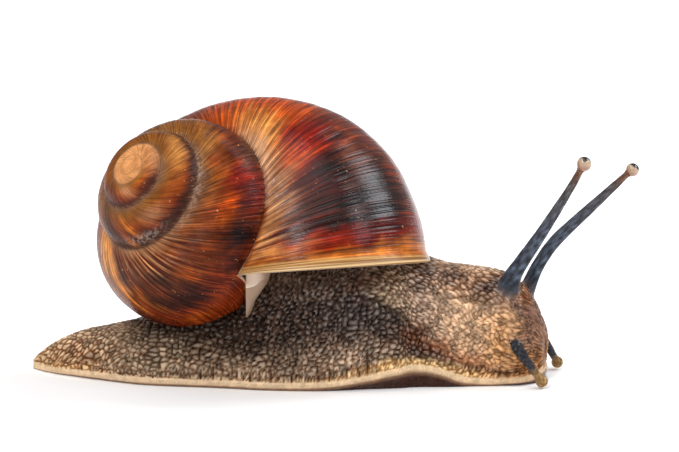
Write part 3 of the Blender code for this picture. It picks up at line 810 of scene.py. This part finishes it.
# Pebbles: cells of a jittered grid, long or round, that pass into one another along the body.
def cells(along, up, seed, jitter=0.8):
    """How far a point is from its cell's edge, 0 there, and the cell's own tone."""
    ci, cj = np.floor(along), np.floor(up)
    nearest = np.full(along.shape, 9.0)
    second = np.full(along.shape, 9.0)
    tone = np.zeros(along.shape)
    for di in (-1, 0, 1):
        for dj in (-1, 0, 1):
            i, j = ci + di, cj + dj
            px = i + 0.5 + jitter * (scatter(i, j, seed) - 0.5)
            py = j + 0.5 + jitter * (scatter(i, j, seed + 1) - 0.5)
            away = np.hypot(px - along, py - up)
            closer = away < nearest
            second = np.where(closer, nearest, np.minimum(second, away))
            tone = np.where(closer, scatter(i, j, seed + 2), tone)
            nearest = np.where(closer, away, nearest)
    return second - nearest, tone


def slanted(along, up, degrees, long, wide):
    turn = radians(degrees)
    return ((along * cos(turn) + up * sin(turn)) / long, (up * cos(turn) - along * sin(turn)) / wide)


def ramp(value, low, high):
    t = clipped((value - low) / (high - low))
    return t * t * (3 - 2 * t)


def fade(value, low, high):
    return 1 - ramp(value, low, high)


def hump(value, middle, reach):
    return np.exp(-((value - middle) / reach) ** 2)


PEBBLE_DEEP = 0.42
FOLD = ((3.0, 14.0), (4.0, 13.0), (8.0, 9.6), (10.5, 8.2), (12.5, 6.5), (16.0, 4.6), (20.0, 3.0), (31.0, 1.0))
along = np.array([lies[v][0] for v in grid])
up = np.array([lies[v][1] for v in grid])
side = np.array([lies[v][2] for v in grid])
out = np.array([lies[v][3] for v in grid])          # from the skirt's edge, under 0 on the wall below it
shift = np.where(side > 0, 0.0, 57.0)
sway = np.array([noise.noise(v.co * 0.35) for v in grid]) * 0.9
swell = np.array([noise.noise(v.co * 0.16 + Vector((7, 3, 1))) for v in grid])
above_fold = up - np.interp(along, *zip(*FOLD))     # over 0 on the neck, under 0 on the trunk
neck_share = ramp(above_fold + 0.9 * sway, -0.9, 0.8) * ramp(along, 3.5, 6)
PEBBLES = (                  # slant in degrees, length, width, seed
    (-12, 0.92, 0.74, 1),    # trunk
    (58, 1.2, 0.55, 17),     # tail
    (-38, 0.95, 0.56, 5),    # neck, lower
    (-33, 1.2, 0.54, 23),    # neck, upper
    (10, 0.6, 0.5, 9),       # close under the shell's lip, and the face
    (86, 1.0, 0.52, 31))     # the fringe
patterns = [cells(*slanted(along + sway, up + shift, *size), seed) for *size, seed in PEBBLES]
face_share = ramp(along, 26.0, 28.0)
shares = (None, fade(along, -34, -27), neck_share, neck_share * ramp(up, 9.5, 12),
          np.maximum(ramp(up, 14, 17.5) * ramp(along, -17, -11) * fade(along, 2, 6), face_share),
          fade(out + 0.8 * sway, 1.6, 3.4) * fade(along, 24, 26))
rim, tone = patterns[0]
for (other_rim, other_tone), share in zip(patterns[1:], shares[1:]):
    rim, tone = rim + (other_rim - rim) * share, tone + (other_tone - tone) * share
height = 1 - (1 - clipped(rim / 0.6)) ** 2.2

# Deep folds cross the fringe every millimetre and a half, some long, some short.
FOLDS_APART = 1.45
fold_at = along + 0.5 * wander(along * 0.5, out * 0.25, 41) + 0.12 * wander(along * 3, out * 1.4, 42)
fold_at = fold_at / FOLDS_APART
long_fold = 1.2 + 3.0 * scatter(np.floor(fold_at), side, 43)
fold_line = hump((fold_at % 1) * FOLDS_APART, 0.5 * FOLDS_APART, 0.1)
fold_line *= 0.45 + 0.55 * scatter(np.floor(fold_at), side, 44)
fold_line *= ramp(out, 0.45, 1.1) * fade(out, long_fold * 0.6, long_fold)
fold_line *= fade(along, 4, 12) * ramp(along, -40, -36)
height = height * (1 - 0.95 * fold_line)
hem = fade(out + 0.25 * sway, 0.55, 1.35)      # the foot's edge is smooth
height = height + (0.85 - height) * hem * (1 - fold_line)
tone = tone + (0.6 - tone) * hem
depth = PEBBLE_DEEP
for share, less in ((shares[5], 0.35), (shares[1], 0.3), (face_share, 0.3), (shares[4], 0.3)):
    depth = depth * (1 - less * share)
crease = hump(above_fold, 0, 0.5) * ramp(along, 3, 5.5) * fade(along, 12, 15)
MOUTH_AT, MOUTH_UP = 29.75, 2.6
mouth = hump(along - 0.12 * np.abs(up - MOUTH_UP), MOUTH_AT, 0.16) * hump(up, MOUTH_UP, 1.5)
lift = (-0.35 * mouth + (height - 0.9) * depth - 0.16 * fold_line - 0.45 * crease
        + 0.16 * swell * ramp(up, 0.5, 3) - 0.05 * ramp(up, -0.5, 0.5))

# Colour of the pebbles: a run of tones from tail to face, then washes over it.
# On the trunk under the shell the near-black tones, and the dark washes below, are partly its own dark skin
# and partly painted shade from the shell above.
TONES = (
    (-44, (0.66, 0.47, 0.28)), (-38, (0.52, 0.38, 0.25)), (-32, (0.38, 0.29, 0.2)),
    (-25, (0.15, 0.115, 0.08)), (-18, (0.045, 0.029, 0.018)), (-10, (0.05, 0.032, 0.023)),
    (0, (0.075, 0.056, 0.046)), (31, (0.085, 0.07, 0.06)))
NECK_TONES = (
    (3, (0.2, 0.15, 0.11)), (8, (0.36, 0.28, 0.19)), (14, (0.34, 0.25, 0.19)), (20, (0.56, 0.37, 0.23)),
    (25, (0.62, 0.38, 0.21)), (31, (0.3, 0.15, 0.08)))
# along, up, reach along, reach up, colour, strength
WASHES = (
    (-25, 8.5, 5, 1.5, (0.045, 0.04, 0.036), 0.8), (-16, 8.5, 7.5, 3.6, (0.03, 0.017, 0.011), 0.9),
    (-6, 9, 9, 3.0, (0.048, 0.03, 0.022), 0.7), (-15, 1.7, 9, 2.3, (0.42, 0.33, 0.24), 0.9),
    (2, 2.8, 8, 3.4, (0.44, 0.34, 0.25), 0.9), (-18, 5.6, 3.5, 2.0, (0.04, 0.024, 0.015), 0.6),
    (-25, 3.0, 6, 2.6, (0.43, 0.34, 0.24), 0.75), (-38, 3.5, 4, 1.6, (0.42, 0.22, 0.1), 0.5),
    (-39, 0.9, 5, 1.2, (0.6, 0.37, 0.14), 0.7), (-8, 16, 6, 3, (0.095, 0.07, 0.054), 0.6),
    (3, 11, 3.5, 3.5, (0.06, 0.05, 0.048), 0.8), (6.5, 7.5, 3.5, 2.6, (0.075, 0.061, 0.058), 0.8),
    (5.5, 14.6, 3.5, 1.3, (0.11, 0.055, 0.035), 0.8), (9, 16.2, 5, 1.0, (0.05, 0.035, 0.028), 0.8),
    (14, 15.2, 3, 1.0, (0.2, 0.15, 0.13), 0.6), (18, 15.2, 3, 1.3, (0.13, 0.085, 0.075), 0.8),
    (22, 13.4, 2.6, 1.5, (0.1, 0.065, 0.06), 0.85), (24.6, 11.6, 1.8, 1.2, (0.11, 0.06, 0.045), 0.8),
    (19, 18.6, 7, 1.6, (0.42, 0.35, 0.28), 0.8), (13.0, 5.4, 3.0, 1.5, (0.15, 0.05, 0.02), 0.95),
    (17.2, 4.2, 2.6, 1.1, (0.22, 0.06, 0.014), 0.9), (21.2, 3.2, 2.4, 1.2, (0.24, 0.068, 0.015), 0.9),
    (23.6, 2.2, 1.6, 1.0, (0.22, 0.08, 0.025), 0.7), (21, 7, 4.5, 3.2, (0.62, 0.42, 0.265), 0.6),
    (26.2, 5, 2.0, 3.6, (0.5, 0.25, 0.085), 0.7), (29.0, 9, 1.2, 7.0, (0.15, 0.075, 0.055), 0.9),
    (27.6, 11.5, 1.2, 2.5, (0.1, 0.05, 0.04), 0.8), (24.6, 14.8, 2.4, 2.4, (0.05, 0.06, 0.08), 0.95),
    (27.8, 14.6, 1.2, 1.6, (0.4, 0.17, 0.07), 0.6), (29.0, 2.0, 2.0, 1.8, (0.42, 0.18, 0.045), 0.8),
    (30.5, 9, 0.9, 4, (0.22, 0.12, 0.09), 0.5))
FRINGE_TONES = (
    (-44, (0.62, 0.42, 0.21)), (-30, (0.58, 0.45, 0.29)), (-10, (0.56, 0.43, 0.26)), (2, (0.66, 0.49, 0.27)),
    (8, (0.78, 0.56, 0.26)), (20, (0.76, 0.55, 0.28)), (26, (0.5, 0.26, 0.09)), (31, (0.4, 0.18, 0.05)))
tint = washed(run_of(TONES, along), run_of(NECK_TONES, along), neck_share)
for x, z, reach, high, colour, much in WASHES:
    tint = washed(tint, colour, much * hump(along + sway, x, reach) * hump(up + sway, z, high))
fringe_high = np.interp(along, (-44, -30, 0, 8, 20, 26), (0.9, 1.1, 1.4, 2.6, 2.4, 1.3))
for colour, much in (
        (run_of(FRINGE_TONES, along), fade((out + 0.4 * sway) / fringe_high, 0.6, 1.3) * 0.9),
        # The deep folds are darkened: painted shade in the creases.
        ((0.075, 0.045, 0.028), fold_line * 0.7),
        ((0.7, 0.54, 0.36), fade(out, 0.5, 1.2) * 0.8),
        # The wall under the skirt is brown, partly its own colour and partly painted shade, and near black
        # where the neck holds the skirt off the ground: painted shade.
        ((0.2, 0.1, 0.055), fade(out, -0.55, -0.12) * 0.9),
        ((0.03, 0.006, 0.002), fade(out, -1.3, -0.4) * 0.97 * ramp(along, -8, 3)),
        # The mouth's slit and the crease under the neck are darkened: painted shade.
        ((0.08, 0.03, 0.015), mouth * 0.8),
        ((0.02, 0.012, 0.01), crease * 0.6)):
    tint = washed(tint, colour, much)

bmesh.ops.remove_doubles(work, verts=work.verts, dist=MERGE)
work.normal_update()
flip = -1 if sum(f.normal.z * f.calc_area() for f in work.faces if f.calc_center_median().z < 0.05) > 0 else 1
# The flesh is drawn in beside the callus.
DENT, DENT_REACH, DENT_PUSH = Vector((-13.6, -13.2, 11.6)), 2.2, Vector((0, 1.6, -0.5))
for v, move in [(v, flip * v.normal * h) for v, h in zip(grid, lift) if v.is_valid]:
    v.co += move + DENT_PUSH * exp(-((v.co - DENT).length / DENT_REACH) ** 2)
    v.co.z = max(v.co.z, 0.0)
# The painted shade in the grooves is soft on the cheek.
sharp = 1 - 0.75 * neck_share * ramp(along, 10, 19) * fade(up, 11, 14)
for v, colour, s in zip(grid, tint, sharp):
    if v.is_valid:
        v[tints] = (*colour, s)
told = {v: (lies[v][0], lies[v][1], h, t) for v, h, t in zip(grid, height, tone) if v.is_valid}
mapped(work, maps, told)
for end in (0, RINGS):
    rim = [e for e in work.edges if e.is_boundary and abs(told[e.verts[0]][0] - stations[end]) < 0.01]
    bmesh.ops.contextual_create(work, geom=rim)
faced(work)
skin = made_of(work, "snail_skin")

# Feelers: hollow muscle that turns outside in; each swells at its base where it leaves the head.
EYE_RIGHT, EYE_LEFT = ((35.6, -12.9, 33.3), 1.08), ((42.8, -2.5, 29.7), 0.98)
END_IN_EYE = 0.9           # the feeler's own end, as a share of the eye round it
STALK_ROUND = 28
STALK_STEPS = 46
TIP_RINGS = 11
STALK_TONES = ((0, (0.035, 0.045, 0.062)), (0.25, (0.06, 0.085, 0.125)), (0.6, (0.085, 0.11, 0.155)),
               (0.9, (0.1, 0.095, 0.105)), (1.0, (0.2, 0.11, 0.075)), (1.3, (0.1, 0.06, 0.04)))
SHORT_TONES = ((0, (0.06, 0.05, 0.045)), (0.15, (0.035, 0.042, 0.055)), (0.8, (0.045, 0.052, 0.068)),
               (0.98, (0.3, 0.2, 0.09)), (1.3, (0.56, 0.38, 0.16)))
# Upper right, upper left, lower right, lower left: place and radius up from the root, the ball at
# the tip, the tones, and how far and how many times the root is eased into the head.
FEELERS = (
    (((23.6, -8.2, 10.9, 1.95), (24.6, -8.9, 13.0, 1.9), (25.1, -9.4, 14.9, 1.5), (26.2, -9.9, 17.1, 1.12),
      (29.6, -11.1, 22.6, 0.86), (33.4, -12.2, 29.1, 0.6), (35.0, -12.75, 32.2, 0.5)),
     (EYE_RIGHT[0], EYE_RIGHT[1] * END_IN_EYE), STALK_TONES, 2.9, 14),
    (((26.6, -5.5, 9.6, 1.3), (27.9, -4.9, 13.2, 1.15), (29.0, -4.5, 15.6, 0.95), (30.8, -4.1, 18.4, 0.9),
      (32.9, -3.8, 20.7, 0.88), (38.9, -3.0, 26.2, 0.64), (41.9, -2.64, 29.0, 0.46)),
     (EYE_LEFT[0], EYE_LEFT[1] * END_IN_EYE), STALK_TONES, 2.6, 10),
    (((25.2, -11.5, 7.1, 0.9), (26.0, -12.8, 6.0, 0.85), (27.2, -13.4, 4.3, 0.66), (28.9, -13.7, 2.05, 0.54)),
     ((29.6, -13.8, 1.12), 0.92), SHORT_TONES, 1.3, 5),
    (((29.2, -6.4, 6.4, 0.75), (30.5, -5.1, 4.2, 0.62), (31.3, -4.2, 2.5, 0.54), (31.7, -3.8, 1.8, 0.5)),
     ((32.0, -3.5, 1.1), 0.85), SHORT_TONES, 1.2, 5))


def grown_feeler(path, tip, mark, tones):
    """A tube along path with a ball at its tip. Its map runs from mark at the base to mark + 1."""
    middles = [p.copy() for p, _ in evenly([Vector(p) for p in path], STALK_STEPS)]
    centre, radius = Vector(tip[0]), tip[1]
    way = (centre - middles[-1].xyz).normalized()
    start = -sqrt(max(radius**2 - middles[-1].w ** 2, 0)) / radius
    for k in range(1, TIP_RINGS + 1):
        height = start + (0.995 - start) * sin(pi / 2 * k / TIP_RINGS)
        place = centre + way * radius * height
        middles.append(Vector((*place, radius * sqrt(1 - height * height))))
    work, maps, tints = blank_hide()
    tube = bmesh.ops.create_grid(work, x_segments=len(middles) - 1, y_segments=STALK_ROUND, size=0.5)["verts"]
    across = Vector((0, 1, 0))
    frames = []
    for i in range(len(middles)):
        ahead = (middles[min(i + 1, len(middles) - 1)].xyz - middles[max(i - 1, 0)].xyz).normalized()
        across = (across - ahead * across.dot(ahead)).normalized()
        frames.append((across, ahead.cross(across)))
    told = {}
    for v in tube:
        i = round((v.co.x + 0.5) * (len(middles) - 1))
        j = round((v.co.y + 0.5) * STALK_ROUND) % STALK_ROUND
        turn = 2 * pi * j / STALK_ROUND
        knob = 0.035 * noise.noise(Vector((i * 0.5, cos(turn) * 2.2, sin(turn) * 2.2)))
        reach = middles[i].w * (1 + (knob / middles[i].w if i < STALK_STEPS else 0))
        v.co = middles[i].xyz + (frames[i][0] * cos(turn) + frames[i][1] * sin(turn)) * reach
        along = i / STALK_STEPS
        told[v] = (mark + min(along, 1 + (i - STALK_STEPS) / 40), turn, 0.75 + 7 * knob, 0.5 + 9 * knob)
        v[tints] = (*run_of(tones, np.array([along]))[0], 1)
    mapped(work, maps, told)
    bmesh.ops.remove_doubles(work, verts=work.verts, dist=MERGE / 2)
    bmesh.ops.holes_fill(work, edges=[e for e in work.edges if e.is_boundary], sides=0)
    faced(work)
    return made_of(work, "feeler")


def joined(thing, other, operation):
    """The Boolean of two objects, kept as the first one's mesh; the other is thrown away."""
    cut = thing.modifiers.new("join", "BOOLEAN")
    cut.operation, cut.object, cut.solver = operation, other, "MANIFOLD"
    bpy.context.view_layer.update()
    made = bpy.data.meshes.new_from_object(thing.evaluated_get(bpy.context.evaluated_depsgraph_get()))
    thing.modifiers.clear()
    old, thing.data = thing.data, made
    made.name = old.name + "_made"
    bpy.data.meshes.remove(old)
    bpy.data.objects.remove(other)


FEELER_MARK = 200          # the hide's map has numbers under this on the body
for k, (path, tip, tones, _, _) in enumerate(FEELERS):
    joined(skin, grown_feeler(path, tip, FEELER_MARK + 2 * k, tones), "UNION")

# The feelers' roots are eased into the head: moved toward their neighbours, colour and all.
work = bmesh.new()
work.from_mesh(skin.data)
tints = work.verts.layers.float_color["tint"]
for v in [v for v in work.verts if min(v[tints][:3]) > 0.9]:      # a join's new points have no colour
    told_ring = [n[tints] for n in (e.other_vert(v) for e in v.link_edges) if min(n[tints][:3]) < 0.9]
    if told_ring:
        v[tints] = sum((Vector(c) for c in told_ring), Vector((0, 0, 0, 0))) / len(told_ring)
for path, _, _, reach, rounds in FEELERS:
    root = Vector(path[1][:3])
    near = [v for v in work.verts if (v.co - root).length < reach]
    for _ in range(rounds):
        moved = []
        for v in near:
            ring = [e.other_vert(v) for e in v.link_edges]
            share = min(1, 1.6 * (1 - (v.co - root).length / reach))
            middle = sum((n.co for n in ring), Vector()) / len(ring)
            shade = sum((Vector(n[tints]) for n in ring), Vector((0, 0, 0, 0))) / len(ring)
            moved.append((v, v.co.lerp(middle, 0.6 * share), Vector(v[tints]).lerp(shade, 0.6 * share)))
        for v, place, shade in moved:
            v.co, v[tints] = place, shade
work.to_mesh(skin.data)
work.free()

# The shell's solid, a little smaller, takes away what it hides.
SHELL_BITE = 0.25
work = bmesh.new()
work.from_mesh(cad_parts["shell"].data)
bmesh.ops.remove_doubles(work, verts=work.verts, dist=0.01 * MM)
bmesh.ops.scale(work, verts=work.verts, vec=(1 / MM, 1 / MM, 1 / MM))
bmesh.ops.translate(work, verts=work.verts, vec=-TO_MIDDLE)
bmesh.ops.recalc_face_normals(work, faces=work.faces)
work.normal_update()
for v, move in [(v, v.normal * SHELL_BITE) for v in work.verts]:
    v.co -= move
joined(skin, made_of(work, "shell_bite"), "DIFFERENCE")

work = bmesh.new()
work.from_mesh(skin.data)
in_metres(work)
work.to_mesh(skin.data)
work.free()
skin_finish, tree, shader = finish_of("snail_hide", IOR=1.4, Specular_IOR_Level=0.08, Coat_Roughness=0.07)
place = on_object()
_, pebble, tone = halves_of("relief")
washes = attribute("tint")
wash, crispness = washes["Color"], washes["Alpha"]
speckle = grain(place, 3200, 2, 0.6)
mottle = grain(place, 900, 2, 0.5, (3, 1, 4))
light = plus(stepped(tone, 0.0, 1.0, 0.6, 1.45), about_zero(mottle, 0.9))
light = plus(light, about_zero(speckle, 0.9))
pebble_tint = multiplied(wash, light)
# Pale dots on the pebbles' crowns: painted glints of wet highlights.
crown_painted_glint = times(stepped(pebble, 0.86, 1.0), stepped(speckle, 0.42, 0.62, 0.1, 0.9))
pebble_tint = blended(crown_painted_glint, pebble_tint, (0.038, 0.034, 0.031), "ADD")
# Slime stands in beads on the pebbles' tops and nowhere else.
put(shader.inputs["Coat Weight"], times(stepped(pebble, 0.72, 0.95), stepped(speckle, 0.4, 0.56)))
# Painted shade and light on the pebbles: grooves are the darkest, slopes are browner than the tops, the tops
# are painted lighter, and the cheek has neither so strongly.
deep_painted_shade = added(multiplied(wash, (0.5, 0.3, 0.22)), (0.03, 0.022, 0.018))
groove_painted_shade = blended(crispness, multiplied(pebble_tint, (0.62, 0.5, 0.42)), multiplied(wash, deep_painted_shade))
slope_painted_shade = blended(crispness, pebble_tint, multiplied(pebble_tint, (0.6, 0.46, 0.38)))
ground = blended(stepped(pebble, 0.1, 0.62), groove_painted_shade, slope_painted_shade)
ground = blended(stepped(pebble, 0.62, 1.0), ground, multiplied(pebble_tint, (1.18, 1.16, 1.14)))
put(shader.inputs["Base Color"], ground)
put(shader.inputs["Roughness"], stepped(mottle, 0.3, 0.7, 0.2, 0.34))
skin_bumps = plus(times(speckle, 0.25), times(pebble, 0.5))
put(shader.inputs["Normal"], raised(skin_bumps, 0.6, 0.00035))
skin.data.materials.clear()
skin.data.materials.append(skin_finish)
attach(skin, "root")
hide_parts("tail", "trunk", "neck", "head", "eye_stalk_right", "eye_stalk_left", "feeler_right",
            "feeler_left")

# ---------------------------------------------------------------------------------------------
# Eyes: a clear wet bead on the end of each upper feeler, with a dark pigment cup showing through
# its top. Each is seated round the feeler's own rounded end.
for name, (centre, radius), lean in (("eye_right", EYE_RIGHT, (0.35, 0.0, 0.95)),
                                     ("eye_left", EYE_LEFT, (0.55, 0.0, 0.85))):
    work = bmesh.new()
    work.loops.layers.uv.new("OFBake")
    cup = work.verts.layers.float.new("cup")
    bmesh.ops.create_uvsphere(work, u_segments=40, v_segments=28, radius=radius, calc_uvs=True)
    up_way = Vector(lean).normalized()
    for v in work.verts:
        v[cup] = v.co.normalized().dot(up_way)
        v.co *= 1 - 0.02 * (0.5 + 0.5 * noise.noise(v.co * 1.7))
        v.co = (v.co + Vector(centre) + TO_MIDDLE) * MM
    for face in work.faces:
        face.smooth = True
    eye = made_of(work, name + "_bead")
    gloss, tree, shader = finish_of(name + "_gloss", Roughness=0.08, IOR=1.4, Specular_IOR_Level=0.5,
                                    Coat_Weight=0.6, Coat_Roughness=0.03)
    cloud = plus(attribute("cup")["Fac"], about_zero(grain(on_object(), 1500, 2), 0.9))
    flesh = blended(stepped(cloud, -0.5, 0.4), (0.33, 0.17, 0.11), (0.5, 0.36, 0.24))
    put(shader.inputs["Base Color"], blended(stepped(cloud, 0.5, 0.72), flesh, (0.018, 0.012, 0.01)))
    eye.data.materials.append(gloss)
    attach(eye, "root")
    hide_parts(name)
